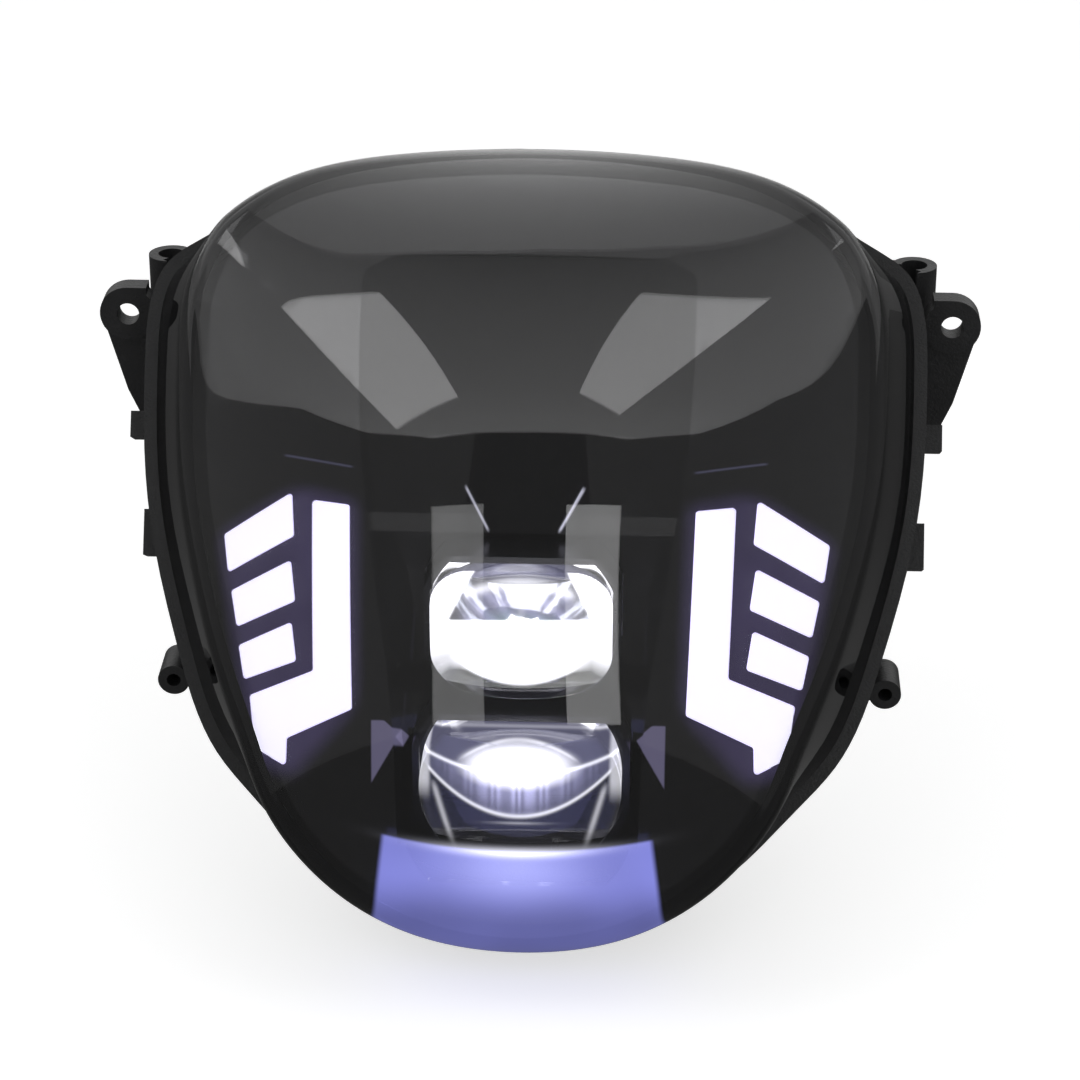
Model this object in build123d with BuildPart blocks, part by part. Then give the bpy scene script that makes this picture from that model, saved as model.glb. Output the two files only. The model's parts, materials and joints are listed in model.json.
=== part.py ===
from build123d import *
import math
import os

# Twin projector headlight of a scooter front shield, in millimetres.
# Row frame: +X to the viewer's right, the lamp shines along -Y, +Z up.
# The origin lies midway between the holes of the two upper ears.
# The cover meets the housing in the lamp plane, which leans back by RAKE.
# In that plane x runs across, t runs up and n is the height towards the front.

# Driving dimensions of the whole lamp
RAKE = 30.0                  # lean of the lamp plane, degrees
PLANE_Y = -56.0              # centre of the lamp plane behind and below the ears
PLANE_Z = -49.4
GAP = 0.3                    # assembly clearance between seated parts

# Outline of the cover at its foot (n = 0) and at WALL_TOP, right half, top to bottom
WALL_TOP = 45.0
FOOT = [(0, 114.5), (40, 111), (75, 101.5), (98.5, 87), (109, 79.5), (113, 69), (114, 53.5),
        (112, 11), (101.5, -34), (89, -64), (77.5, -77), (61, -94), (32, -111), (0, -116)]
BROW = [(0, 121.4), (38, 118), (68, 109.5), (86, 97.5), (91, 81), (93.5, 66), (93.5, 52),
        (92, 11), (87.6, -34), (79, -64), (73, -82), (62, -98), (31, -122), (0, -131)]

# Dome: height over the lamp plane along the centre line and its fall to the sides
DOME_BASE = -10.0
DOME_RISE = 85.0
DOME_MID = -5.0              # t of the crest
DOME_HALF = 127.0            # half length of the crest ellipse
DOME_SAG = 50.6              # fall at 100 mm from the centre line
DOME_X = 112.0
DOME_T = (-126.0, 118.0)
DOME_STEPS = (15, 25)
DOME_BLOCK = 110.0           # depth of the cutting block over the dome

# Front cover
COVER_WALL = 2.6
TONGUE_WALL = 2.4
TONGUE_DEPTH = 5.0
TONGUE_INSET = 1.0

# Rear housing
RIM_OUT = 4.0                # rim beyond the cover's foot
RIM_TOP = -0.5
RIM_FLOOR = 2.0              # under the groove
SKIRT_DEPTH = 13.0
SKIRT_WALL = 2.0
GROOVE_DEPTH = 7.0
GROOVE_GAP = 0.4
SEAL_GAP = 0.1
SHELL_WALL = 2.5
BOWL_IN = 6.0                # inner face of the bowl inside the foot outline, at the rim
BOWL_TAPER = 5.5             # further in at the back
BOWL_BACK = -46.0
TUB_WIDTH = 96.0
TUB_LOW = -66.0
TUB_HIGH = 44.0
TUB_BACK = -62.0
TUB_ROUND = 12.0
BOWL_ROUND = 5.0
RIB_OUT = 2.5
RIB_THICK = 1.8
RIB_LEVELS = (-20.0, -27.0)
BACK_RIBS = [(34.0, 98.0), (4.0, 94.0), (-44.0, 76.0)]   # t and outer x of ribs beside the tub
BACK_RIB_HEIGHT = 3.0
TAB_PLACES = [(34.0, 8.0, 123.5), (1.0, 14.0, 118.5)]   # t, length and outer x of side tabs
TAB_DEPTH = 9.0
TAB_TOP = -11.0

# Ears with the two upper fixing holes
EAR_SPACING = 254.0
EAR_HOLE_R = 3.5
EAR_RING_R = 8.7
EAR_THICK = 7.0
EAR_SQUARE = 6.0             # squared inner top corner of the ring
WEB_THICK = 4.0
WEB_DROP = 34.0
WEB_FOOT = 125.0
WEB_ROOT = 105.0
WEB_SHOULDER = (8.1, -1.8)    # where the web leaves the ring, from the hole's centre
WEB_CORNER = (3.5, 8.0)

# Hooked sockets on top
SOCKET_SPACING = 232.0
SOCKET_Y = 18.0
SOCKET_TOP = 12.0
SOCKET_HEIGHT = 20.0
SOCKET_R = 7.0
SOCKET_BORE_R = 4.0
SOCKET_SLOT = 4.5
SOCKET_SLOT_LENGTH = 9.0
SOCKET_SLOT_SIDE = 3.0       # slot's centre towards the lamp and the front
SOCKET_SLOT_FRONT = 4.0
SOCKET_SLOT_TURN = 45.0
SOCKET_ROOT = 100.0

# Lower lugs with blind screw holes that face the front
LUG_SPACING = 214.0
LUG_Y = -74.0
LUG_Z = -90.0
LUG_R = 4.8
LUG_LENGTH = 14.0
LUG_HOLE_R = 2.1
LUG_HOLE_DEPTH = 10.0
LUG_ROOT = 100.5

# Inner bezel
BEZEL_DEPTH = 5.0            # below the dome's outer face
BEZEL_WALL = 2.0
BEZEL_FOOT = -6.0
CHANNEL = [(48, 78), (47.5, 46), (46, 20), (43, 0), (39.5, -25), (36.5, -43), (34.8, -62), (34, -90)]
CHANNEL_WALL = 1.6
CHANNEL_LOW = -20.0
# Stepped floor of the channel as (y, z), from its top to the chin
STAIR_HALF = 70.0
STAIR_FRONT = -220.0
STAIR = [(-44, 60), (-92, -24), (-96, -28), (-96, -73), (-106, -75), (-106, -120), (-128, -124),
         (-150, -124)]
# Brow over the upper lens as (x, t), standing on the channel's upper floor
BROW_AREA = [(17.3, 13.0), (-17.3, 13.0), (-9.7, -1.5), (9.7, -1.5)]
BROW_LOW = 43.0
BROW_HIGH = 47.5
BROW_ROUND = 0.8
BEZEL_BOSSES = [(72, 62), (46, -86)]
BOSS_R = 4.0
BOSS_BASE_R = 5.0
BOSS_SEAT = -40.0

# Light windows of the bezel, right side, as (x, t) corners
WINDOW_ROUND = 1.0
WINDOW_GAP = 0.2
CHEVRONS = [
    [(87.4, -2.2), (66.0, 9.2), (65.0, -3.6), (85.8, -13.6)],
    [(84.6, -18.7), (65.8, -10.3), (64.2, -22.2), (82.5, -29.4)],
    [(81.8, -34.6), (65.2, -28.0), (63.6, -39.2), (79.9, -44.6)],
]
CHEVRON_BAR = [(70, 4), (78, 0), (76, -38), (68, -36)]
ELBOW = [(59.9, 6.7), (48.5, 4.9), (46.8, -52.6), (66.2, -61.1), (66.5, -69.2), (76.2, -64.2),
         (78.0, -49.0), (58.6, -41.9)]
GUIDE_LIP = 1.6
LIP_OUT = 1.0
BOX_FLOOR = 4.0
BOX_WALL = 1.2
BOX_AREA = [(88, 3), (66, 14), (47.5, 13), (45.6, -6), (41, -56), (62, -73), (72, -67), (80, -46)]
BOARD_THICK = 1.6
BOARD_IN = 3.0               # board edge inside the light box's edge
CHIP = 3.0
CHIP_HEIGHT = 1.0
CHEVRON_CHIPS = (-5.0, 3.0)   # x of the chips from the middle of their window
ELBOW_CHIPS = [(53.5, -4), (53.5, -18), (53.5, -32), (53.5, -46), (71, -58)]
PRISM_TOP = 90.0             # above the dome's crest

# Projector modules: lens centre height, seat of the lens, radius, size over the flats, bulge
UPPER = dict(z=-50.5, seat=-103.0, radius=27.5, height=37.0, width=51.5, bulge=11.0)
LOWER = dict(z=-96.4, seat=-112.0, radius=30.5, height=37.0, width=58.0, bulge=12.0)
LENS_EDGE = 10.0
HOLDER_WALL = 2.0
HOLDER_LENGTH = 20.0
HOLDER_GRIP = 5.0
HOLDER_LEDGE = 1.5
BOWL_R = 18.0                # reflector's open end
BOWL_NECK_R = 7.0
BOWL_WALL = 1.5
SHIELD_WALL = 1.0
SHIELD_TAPER = 4.0
CARRIER_BACK = -58.0
CARRIER_WALL = 3.0
CARRIER_TOP = -20.0
CARRIER_STEP = -96.0
CARRIER_LOW = -122.0
CARRIER_HALF = 40.0
CARRIER_FOOT_HALF = 60.0
POSTS = [(34, -26), (53, -108)]
POST_R = 4.0
LED_BOARD = 24.0
EMITTER = 6.0
SINK_BASE = 5.0
SINK_FIN = 1.6
SINK_FINS = 9
SINK_WIDTH = 50.0
SINK_HEIGHT = 36.0
SINK_DEPTH = 20.0
SINK_SCREW_X = 18.0

# Rear cover, driver, vent and wire inlet
REAR_WALL = 2.5
REAR_FLANGE = 4.0
REAR_RIB = 3.0
REAR_RIBS = 5
REAR_RIB_PITCH = 12.0
REAR_RIB_WALL = 2.0
REAR_RIB_RISE = 14.0         # of the ribs' middle over the cover's middle
REAR_SCREW_IN = 12.0         # from the tub's ends
GASKET_WIDTH = 2.0
GASKET_THICK = 1.0
DRIVER = (58.0, 24.0, 11.0)
DRIVER_T = 26.0
DRIVER_ROUND = 3.0
VENT_X = 70.0
VENT_T = -20.0
VENT_R = 7.0
VENT_STEM_R = 3.5
VENT_HEIGHT = 5.0
VENT_ROUND = 1.5
INLET_T = -40.0
INLET_R = 8.0
INLET_BORE_R = 3.5
INLET_FLANGE = 2.0

# Fasteners
SCREW_R = 1.9
SCREW_HEAD_R = 3.6
SCREW_HEAD = 2.2
SCREW_SOCKET_R = 1.4
SCREW_SOCKET_DEPTH = 1.2
SCREW_LENGTH = 8.0

LAMP = Plane(
    origin=(0, PLANE_Y, PLANE_Z),
    x_dir=(1, 0, 0),
    z_dir=(0, -math.cos(math.radians(RAKE)), math.sin(math.radians(RAKE))),
)


def facing(y, z):
    """Plane across the optical axis: local x is X, local y is Z, local z points forward."""
    return Plane(origin=(0, y, z), x_dir=(1, 0, 0), z_dir=(0, -1, 0))


def dome_height(x, t):
    """Height of the dome's outer face over the lamp plane."""
    crest = math.sqrt(1 - ((t - DOME_MID) / DOME_HALF) ** 2)
    return DOME_BASE + DOME_RISE * crest - DOME_SAG * (x / 100) ** 2 * crest ** 2


def dome_point(x, t, depth):
    """Point of the dome moved inwards along its normal by depth."""
    step = 0.01
    slope_x = (dome_height(x + step, t) - dome_height(x - step, t)) / (2 * step)
    slope_t = (dome_height(x, t + step) - dome_height(x, t - step)) / (2 * step)
    length = math.sqrt(1 + slope_x ** 2 + slope_t ** 2)
    return LAMP.from_local_coords((x + depth * slope_x / length, t + depth * slope_t / length,
                                   dome_height(x, t) - depth / length))


def above_dome(depth):
    """Block that fills the space over the dome lowered by depth."""
    columns, rows = DOME_STEPS
    low, high = DOME_T
    grid = [[dome_point(-DOME_X + 2 * DOME_X * i / (columns - 1),
                        DOME_MID + DOME_HALF * math.sin(
                            math.asin((low - DOME_MID) / DOME_HALF) * (1 - j / (rows - 1))
                            + math.asin((high - DOME_MID) / DOME_HALF) * j / (rows - 1)),
                        depth)
             for i in range(columns)] for j in range(rows)]
    face = Face.make_surface_from_array_of_points(grid, tol=0.02, min_deg=3, max_deg=5)
    return Solid.extrude(face, LAMP.z_dir * DOME_BLOCK)


def moved_in(points, inset):
    """Closed outline moved inwards, point by point, along the normal of its neighbours."""
    moved = []
    for i, (x, t) in enumerate(points):
        (xa, ta), (xb, tb) = points[i - 1], points[(i + 1) % len(points)]
        length = math.hypot(xb - xa, tb - ta)
        moved.append((x + inset * (tb - ta) / length, t - inset * (xb - xa) / length))
    return moved


def outline(level, inset=0.0):
    """Points of the cover's outline at a height over the lamp plane, clockwise from the top."""
    share = max(0.0, level) / WALL_TOP
    half = [(xf + (xb - xf) * share, tf + (tb - tf) * share)
            for (xf, tf), (xb, tb) in zip(FOOT, BROW)]
    left = [(-x, t) for x, t in half[-2:0:-1]]
    return moved_in(half + left, inset)


def outline_face(level, inset=0.0):
    """Face inside the cover's outline at a height over the lamp plane."""
    with BuildSketch(LAMP.offset(level)) as sketch:
        with BuildLine():
            Spline(*outline(level, inset), periodic=True)
        make_face()
    return sketch.sketch


def envelope(inset, depth, foot):
    """Solid under the lowered dome, inside the cover's walls moved in by inset."""
    roof = above_dome(depth)
    with BuildPart() as body:
        loft(sections=[outline_face(foot, inset), outline_face(WALL_TOP, inset)], ruled=True)
        extrude(to_extrude=outline_face(WALL_TOP, inset), amount=WALL_TOP)
        add(roof, mode=Mode.SUBTRACT)
    return body.part.solids().sort_by(SortBy.VOLUME)[-1]


def ring(low, high, outer_inset, inner_inset):
    """Straight wall that follows the cover's outline between two levels."""
    outer = outline_face(low, outer_inset).face().outer_wire()
    inner = outline_face(low, inner_inset).face().outer_wire()
    with BuildPart() as body:
        extrude(to_extrude=Face(outer, [inner]), amount=high - low, dir=LAMP.z_dir)
    return body.part


def prism(points, low, high, rounding=0.0, inset=0.0):
    """Straight prism along the lamp's normal over a polygon in the lamp plane."""
    with BuildPart() as body:
        with BuildSketch(LAMP.offset(low)) as sketch:
            with BuildLine():
                Polyline(*points, close=True)
            make_face()
            if inset:
                offset(amount=-inset, kind=Kind.INTERSECTION)
            if rounding:
                fillet(sketch.vertices(), rounding)
        extrude(amount=high - low)
    return body.part


def sided(points, side):
    """Polygon of the right half, or its mirror image."""
    return [(side * x, t) for x, t in points]


os.makedirs("parts", exist_ok=True)


def finish(part, name):
    """Label a finished piece and write it."""
    part.label = name
    export_step(part, f"parts/{name}.step")


def channel_outline(outset):
    """Plan of the central channel, both sides, moved outwards."""
    right = [(x + outset, t) for x, t in CHANNEL]
    return right + [(-x, t) for x, t in reversed(right)]


def stair_region(wall):
    """Space in front of the channel's stepped floor, or of the wall's far side."""
    profile = [(y + wall, z - wall) for y, z in STAIR]
    with BuildPart() as body:
        with BuildSketch(Plane.YZ.offset(-STAIR_HALF)):
            with BuildLine():
                Polyline((STAIR_FRONT, profile[0][1]), *profile, (STAIR_FRONT, profile[-1][1]),
                         close=True)
            make_face()
        extrude(amount=2 * STAIR_HALF)
    return body.part


def lens_outline(plane, module, grow):
    """Outline of a lens that is cut flat on four sides, made larger or smaller."""
    with BuildSketch(plane) as sketch:
        Circle(module["radius"] + grow)
        Rectangle(module["width"] + 2 * grow, module["height"] + 2 * grow, mode=Mode.INTERSECT)
    return sketch.sketch


def projector_lens(module):
    """Thick lens with a flat back and a bulged front, cut flat on four sides."""
    radius, seat, bulge = module["radius"], module["seat"], module["bulge"]
    front = seat - LENS_EDGE
    sphere = (radius ** 2 + bulge ** 2) / (2 * bulge)
    half = math.asin(radius / sphere) / 2
    middle = (sphere * math.sin(half), front - bulge + sphere * (1 - math.cos(half)))
    with BuildPart() as body:
        with BuildSketch(Plane.XY.offset(module["z"])):
            with BuildLine():
                Line((0, seat), (radius, seat))
                Line((radius, seat), (radius, front))
                ThreePointArc((radius, front), middle, (0, front - bulge))
                Line((0, front - bulge), (0, seat))
            make_face()
        revolve(axis=Axis((0, 0, module["z"]), (0, 1, 0)))
        extrude(to_extrude=lens_outline(facing(seat, module["z"]), module, 0.0),
                amount=LENS_EDGE + 2 * bulge, mode=Mode.INTERSECT)
    return body.part


def lens_holder(module):
    """Shroud that grips the lens's edge and runs back to the reflector."""
    seat, z = module["seat"], module["z"]
    back = facing(seat + HOLDER_LENGTH, z)
    with BuildPart() as body:
        extrude(to_extrude=lens_outline(back, module, HOLDER_WALL + GAP),
                amount=HOLDER_LENGTH + HOLDER_GRIP)
        extrude(to_extrude=lens_outline(back, module, -HOLDER_LEDGE),
                amount=HOLDER_LENGTH + HOLDER_GRIP, mode=Mode.SUBTRACT)
        extrude(to_extrude=lens_outline(facing(seat, z), module, GAP),
                amount=HOLDER_GRIP, mode=Mode.SUBTRACT)
    return body.part


def reflector(module):
    """Open bowl between the lens holder and the carrier."""
    front = module["seat"] + HOLDER_LENGTH
    back = CARRIER_BACK - CARRIER_WALL
    waist = front + 0.55 * (back - front)
    bulge_r = 0.9 * BOWL_R
    with BuildPart() as body:
        with BuildSketch(Plane.XY.offset(module["z"])):
            with BuildLine():
                Spline((BOWL_R, front), (bulge_r, waist), (BOWL_NECK_R, back))
                Line((BOWL_NECK_R, back), (BOWL_NECK_R + BOWL_WALL, back))
                Spline((BOWL_NECK_R + BOWL_WALL, back), (bulge_r + BOWL_WALL, waist),
                       (BOWL_R + BOWL_WALL, front))
                Line((BOWL_R + BOWL_WALL, front), (BOWL_R, front))
            make_face()
        revolve(axis=Axis((0, 0, module["z"]), (0, 1, 0)))
    return body.part


def block(width, depth, height, x, y, z):
    """Box whose front face lies at y, centred on x and z."""
    with BuildPart() as body:
        with BuildSketch(facing(y + depth, z)):
            with Locations((x, 0)):
                Rectangle(width, height)
        extrude(amount=depth)
    return body.part


def heat_sink(module):
    """Base plate against the carrier with upright fins behind it."""
    pitch = (SINK_WIDTH - SINK_FIN) / (SINK_FINS - 1)
    back = CARRIER_BACK + SINK_BASE
    with BuildPart() as body:
        with BuildSketch(facing(back, module["z"])):
            Rectangle(SINK_WIDTH, SINK_HEIGHT)
        extrude(amount=SINK_BASE)
        with BuildSketch(facing(back + SINK_DEPTH, module["z"])):
            with GridLocations(pitch, 1, SINK_FINS, 1):
                Rectangle(SINK_FIN, SINK_HEIGHT)
        extrude(amount=SINK_DEPTH)
        with BuildSketch(facing(back, module["z"])):
            with Locations((-SINK_SCREW_X, 0), (SINK_SCREW_X, 0)):
                Circle(SCREW_R + GAP)
        extrude(amount=SINK_BASE, mode=Mode.SUBTRACT)
        with BuildSketch(facing(back, module["z"])):
            with Locations((-SINK_SCREW_X, 0), (SINK_SCREW_X, 0)):
                Circle(SCREW_HEAD_R + 2 * GAP)
        extrude(amount=-SINK_DEPTH, mode=Mode.SUBTRACT)
    return body.part


def screws(plane, places, length):
    """Pan-head screws whose heads sit on the plane and whose shanks run against its normal."""
    with BuildPart() as body:
        with BuildSketch(plane):
            with Locations(*places):
                Circle(SCREW_HEAD_R)
        extrude(amount=SCREW_HEAD)
        with BuildSketch(plane.offset(SCREW_HEAD)):
            with Locations(*places):
                Circle(SCREW_SOCKET_R)
        extrude(amount=-SCREW_SOCKET_DEPTH, mode=Mode.SUBTRACT)
        with BuildSketch(plane):
            with Locations(*places):
                Circle(SCREW_R)
        extrude(amount=-length)
    return body.part


# Shells that follow the dome at different depths
BEZEL_INSET = BOWL_IN + GAP
INSIDE_BEZEL = BEZEL_INSET + BEZEL_WALL + GAP
LIP_DEPTH = BEZEL_DEPTH + BEZEL_WALL + WINDOW_GAP
GUIDE_BACK = LIP_DEPTH + GUIDE_LIP
cover_outer = envelope(0.0, 0.0, 0.0)
cover_inner = envelope(COVER_WALL, COVER_WALL, 0.0)
bezel_outer = envelope(BEZEL_INSET, BEZEL_DEPTH, 0.0)
bezel_inner = envelope(BEZEL_INSET + BEZEL_WALL, BEZEL_DEPTH + BEZEL_WALL, 0.0)
lip_shell = envelope(INSIDE_BEZEL, LIP_DEPTH, 0.0)
back_shell = envelope(BEZEL_INSET, GUIDE_BACK, 0.0)
box_shell = envelope(INSIDE_BEZEL, GUIDE_BACK + WINDOW_GAP, 0.0)

# Front cover: dome on drafted walls, with a tongue that sits in the housing's groove
cover_tongue = ring(-TONGUE_DEPTH, 0.0, TONGUE_INSET, TONGUE_INSET + TONGUE_WALL)

with BuildPart() as front_cover:
    add(cover_outer)
    add(cover_inner, mode=Mode.SUBTRACT)
    add(cover_tongue)
finish(front_cover.part, "front_cover")

# Seal at the bottom of the groove
GROOVE_FLOOR = RIM_TOP - GROOVE_DEPTH
GROOVE_OUT = TONGUE_INSET - GROOVE_GAP
GROOVE_IN = TONGUE_INSET + TONGUE_WALL + GROOVE_GAP
cover_seal = ring(GROOVE_FLOOR, -TONGUE_DEPTH, GROOVE_OUT + SEAL_GAP, GROOVE_IN - SEAL_GAP)
finish(cover_seal, "cover_seal")

# Rear housing
RIM_LOW = GROOVE_FLOOR - RIM_FLOOR
BOWL_FLOOR = BOWL_BACK + SHELL_WALL
TUB_HEIGHT = TUB_HIGH - TUB_LOW
TUB_MID = (TUB_HIGH + TUB_LOW) / 2
BOWL_OUT = BOWL_IN - SHELL_WALL


def bowl_inset(level):
    """Distance of the bowl's outer face inside the foot outline at a level."""
    return BOWL_OUT + BOWL_TAPER * (RIM_LOW - level) / (RIM_LOW - BOWL_BACK)


with BuildPart() as rim:
    extrude(to_extrude=outline_face(RIM_TOP - SKIRT_DEPTH, -RIM_OUT), amount=SKIRT_DEPTH)
    extrude(to_extrude=outline_face(RIM_TOP - SKIRT_DEPTH, SKIRT_WALL - RIM_OUT),
            amount=RIM_LOW - RIM_TOP + SKIRT_DEPTH, mode=Mode.SUBTRACT)
    extrude(to_extrude=outline_face(RIM_LOW, BOWL_IN), amount=RIM_TOP - RIM_LOW, mode=Mode.SUBTRACT)
    add(ring(GROOVE_FLOOR, RIM_TOP, GROOVE_OUT, GROOVE_IN), mode=Mode.SUBTRACT)


def ear_sketch(side):
    """Front view of one ear: a ring squared on its inner side, on a tapering web."""
    centre = side * EAR_SPACING / 2
    with BuildSketch(facing(WEB_THICK / 2, 0)) as sketch:
        with BuildLine():
            Polyline((centre + side * WEB_SHOULDER[0], WEB_SHOULDER[1]), (centre, 0),
                     (side * WEB_ROOT, 0), (side * WEB_ROOT, -WEB_DROP),
                     (side * WEB_FOOT, -WEB_DROP),
                     (side * (WEB_FOOT + WEB_CORNER[0]), -WEB_DROP + WEB_CORNER[1]), close=True)
        make_face()
    return sketch.sketch


def mirrored(places):
    """Places on the right and their mirror images."""
    return [(side * x, t) for side in (-1, 1) for x, t in places]


BOSS_PLACES = mirrored(BEZEL_BOSSES)
POST_PLACES = mirrored(POSTS)
REAR_PLACES = mirrored([(TUB_WIDTH / 2 - REAR_FLANGE, TUB_HIGH - REAR_SCREW_IN),
                        (TUB_WIDTH / 2 - REAR_FLANGE, TUB_LOW + REAR_SCREW_IN)])
VENT_PLACES = mirrored([(VENT_X, VENT_T)])

with BuildPart() as carrier_posts:
    with BuildSketch(facing(CARRIER_BACK, 0)):
        with Locations(*POST_PLACES):
            Circle(POST_R)
    extrude(amount=-DOME_BLOCK)
    split(bisect_by=LAMP.offset(BOWL_BACK + SHELL_WALL / 2), keep=Keep.TOP)

with BuildPart() as housing_hollow:
    loft(sections=[outline_face(BOWL_FLOOR, BOWL_IN + BOWL_TAPER), outline_face(RIM_LOW, BOWL_IN)],
         ruled=True)
    with BuildSketch(LAMP.offset(TUB_BACK)):
        with Locations((0, TUB_MID)):
            RectangleRounded(TUB_WIDTH - 2 * SHELL_WALL, TUB_HEIGHT - 2 * SHELL_WALL,
                             TUB_ROUND - SHELL_WALL)
    extrude(amount=BOWL_FLOOR - TUB_BACK)

with BuildPart() as rear_housing:
    loft(sections=[outline_face(BOWL_BACK, BOWL_OUT + BOWL_TAPER), outline_face(RIM_LOW, BOWL_OUT)],
         ruled=True)
    back_edge = rear_housing.faces().sort_by(Axis(LAMP.origin, LAMP.z_dir))[0].edges()
    fillet(back_edge, BOWL_ROUND)
    with BuildSketch(LAMP.offset(TUB_BACK)):
        with Locations((0, TUB_MID)):
            RectangleRounded(TUB_WIDTH, TUB_HEIGHT, TUB_ROUND)
    extrude(amount=BOWL_FLOOR - TUB_BACK)
    with BuildSketch(LAMP.offset(BOWL_BACK - BACK_RIB_HEIGHT)):
        for rib_t, rib_x in BACK_RIBS:
            with Locations(*mirrored([((rib_x + TUB_WIDTH / 2) / 2, rib_t)])):
                Rectangle(rib_x - TUB_WIDTH / 2, RIB_THICK)
    extrude(amount=BACK_RIB_HEIGHT)
    for level in RIB_LEVELS:
        extrude(to_extrude=outline_face(level, bowl_inset(level) - RIB_OUT), amount=RIB_THICK)
    for side in (-1, 1):
        extrude(to_extrude=ear_sketch(side), amount=WEB_THICK)
        centre = side * EAR_SPACING / 2
        with BuildSketch(facing(EAR_THICK / 2, 0)):
            with Locations((centre, 0)):
                Circle(EAR_RING_R)
            with Locations((centre - side * EAR_SQUARE / 2, EAR_RING_R / 2)):
                Rectangle(EAR_SQUARE, EAR_RING_R)
        extrude(amount=EAR_THICK)
        with BuildSketch(facing(EAR_THICK / 2, 0)):
            with Locations((centre, 0)):
                Circle(EAR_HOLE_R)
        extrude(amount=EAR_THICK, mode=Mode.SUBTRACT)
        place = side * SOCKET_SPACING / 2
        with BuildSketch(Plane.XY.offset(SOCKET_TOP)):
            with Locations((place, SOCKET_Y)):
                Circle(SOCKET_R)
            with Locations(((place + side * SOCKET_ROOT) / 2, SOCKET_Y)):
                Rectangle(SOCKET_SPACING / 2 - SOCKET_ROOT, 2 * WEB_THICK)
        extrude(amount=-SOCKET_HEIGHT)
        with BuildSketch(Plane.XY.offset(SOCKET_TOP)):
            with Locations((place, SOCKET_Y)):
                Circle(SOCKET_BORE_R)
            with Locations(Location((place - side * SOCKET_SLOT_SIDE, SOCKET_Y - SOCKET_SLOT_FRONT),
                                    side * SOCKET_SLOT_TURN)):
                Rectangle(SOCKET_SLOT, SOCKET_SLOT_LENGTH)
        extrude(amount=-SOCKET_HEIGHT, mode=Mode.SUBTRACT)
        lug = side * LUG_SPACING / 2
        with BuildSketch(facing(LUG_Y + LUG_LENGTH, LUG_Z)):
            with Locations((lug, 0)):
                Circle(LUG_R)
            with Locations(((lug + side * LUG_ROOT) / 2, 0)):
                Rectangle(LUG_SPACING / 2 - LUG_ROOT, WEB_THICK)
        extrude(amount=LUG_LENGTH)
        with BuildSketch(facing(LUG_Y, LUG_Z)):
            with Locations((lug, 0)):
                Circle(LUG_HOLE_R)
        extrude(amount=-LUG_HOLE_DEPTH, mode=Mode.SUBTRACT)
        for tab_t, tab_length, tab_x in TAB_PLACES:
            with BuildSketch(LAMP.offset(TAB_TOP - TAB_DEPTH)):
                with Locations((side * (tab_x + WEB_ROOT) / 2, tab_t)):
                    Rectangle(tab_x - WEB_ROOT, tab_length)
            extrude(amount=TAB_DEPTH)
    add(housing_hollow.part, mode=Mode.SUBTRACT)
    add(rim.part)
    add(carrier_posts.part)
    with BuildSketch(LAMP.offset(BOWL_BACK)):
        with Locations(*BOSS_PLACES):
            Circle(BOSS_BASE_R)
    extrude(amount=BOSS_SEAT - BOWL_BACK)
    with BuildSketch(LAMP.offset(BOWL_BACK)):
        with Locations(*BOSS_PLACES):
            Circle(SCREW_R + GAP)
        with Locations(*VENT_PLACES):
            Circle(VENT_STEM_R + GAP)
    extrude(amount=BOSS_SEAT - BOWL_BACK, mode=Mode.SUBTRACT)
    with BuildSketch(LAMP.offset(TUB_BACK)):
        with Locations(*REAR_PLACES):
            Circle(POST_R)
    extrude(amount=SCREW_LENGTH + REAR_WALL)
    with BuildSketch(LAMP.offset(TUB_BACK)):
        with Locations(*REAR_PLACES):
            Circle(SCREW_R)
    extrude(amount=SCREW_LENGTH, mode=Mode.SUBTRACT)
    with BuildSketch(facing(CARRIER_BACK, 0)):
        with Locations(*POST_PLACES):
            Circle(SCREW_R)
    extrude(amount=-SCREW_LENGTH, mode=Mode.SUBTRACT)
finish(rear_housing.part, "rear_housing")

# Inner bezel: a shell under the dome with windows and a stepped channel for the projectors
channel_outer = prism(channel_outline(CHANNEL_WALL), CHANNEL_LOW, PRISM_TOP)
channel_void = prism(channel_outline(0), CHANNEL_LOW, PRISM_TOP)
stair_outer = stair_region(CHANNEL_WALL)
stair_void = stair_region(0)
window_cuts = [prism(sided(window, side), 0, PRISM_TOP, WINDOW_ROUND)
               for side in (-1, 1) for window in (*CHEVRONS, ELBOW)]
holder_cuts = [lens_outline(facing(0, module["z"]), module, HOLDER_WALL + 2 * GAP)
               for module in (UPPER, LOWER)]
bezel_skirt = ring(BEZEL_FOOT, 0.0, BEZEL_INSET, BEZEL_INSET + BEZEL_WALL)
bezel_roof = above_dome(BEZEL_DEPTH + BEZEL_WALL / 2)

with BuildPart() as channel_shell:
    add(channel_outer)
    add(stair_outer, mode=Mode.INTERSECT)
    add(bezel_outer, mode=Mode.INTERSECT)

with BuildPart() as channel_space:
    add(channel_void)
    add(stair_void, mode=Mode.INTERSECT)

with BuildPart() as bezel_bosses:
    with BuildSketch(LAMP.offset(BOSS_SEAT)):
        with Locations(*BOSS_PLACES):
            Circle(BOSS_R)
    extrude(amount=DOME_BLOCK)
    add(bezel_roof, mode=Mode.SUBTRACT)
    with BuildSketch(LAMP.offset(BOSS_SEAT)):
        with Locations(*BOSS_PLACES):
            Circle(SCREW_R)
    extrude(amount=SCREW_LENGTH, mode=Mode.SUBTRACT)

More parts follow.
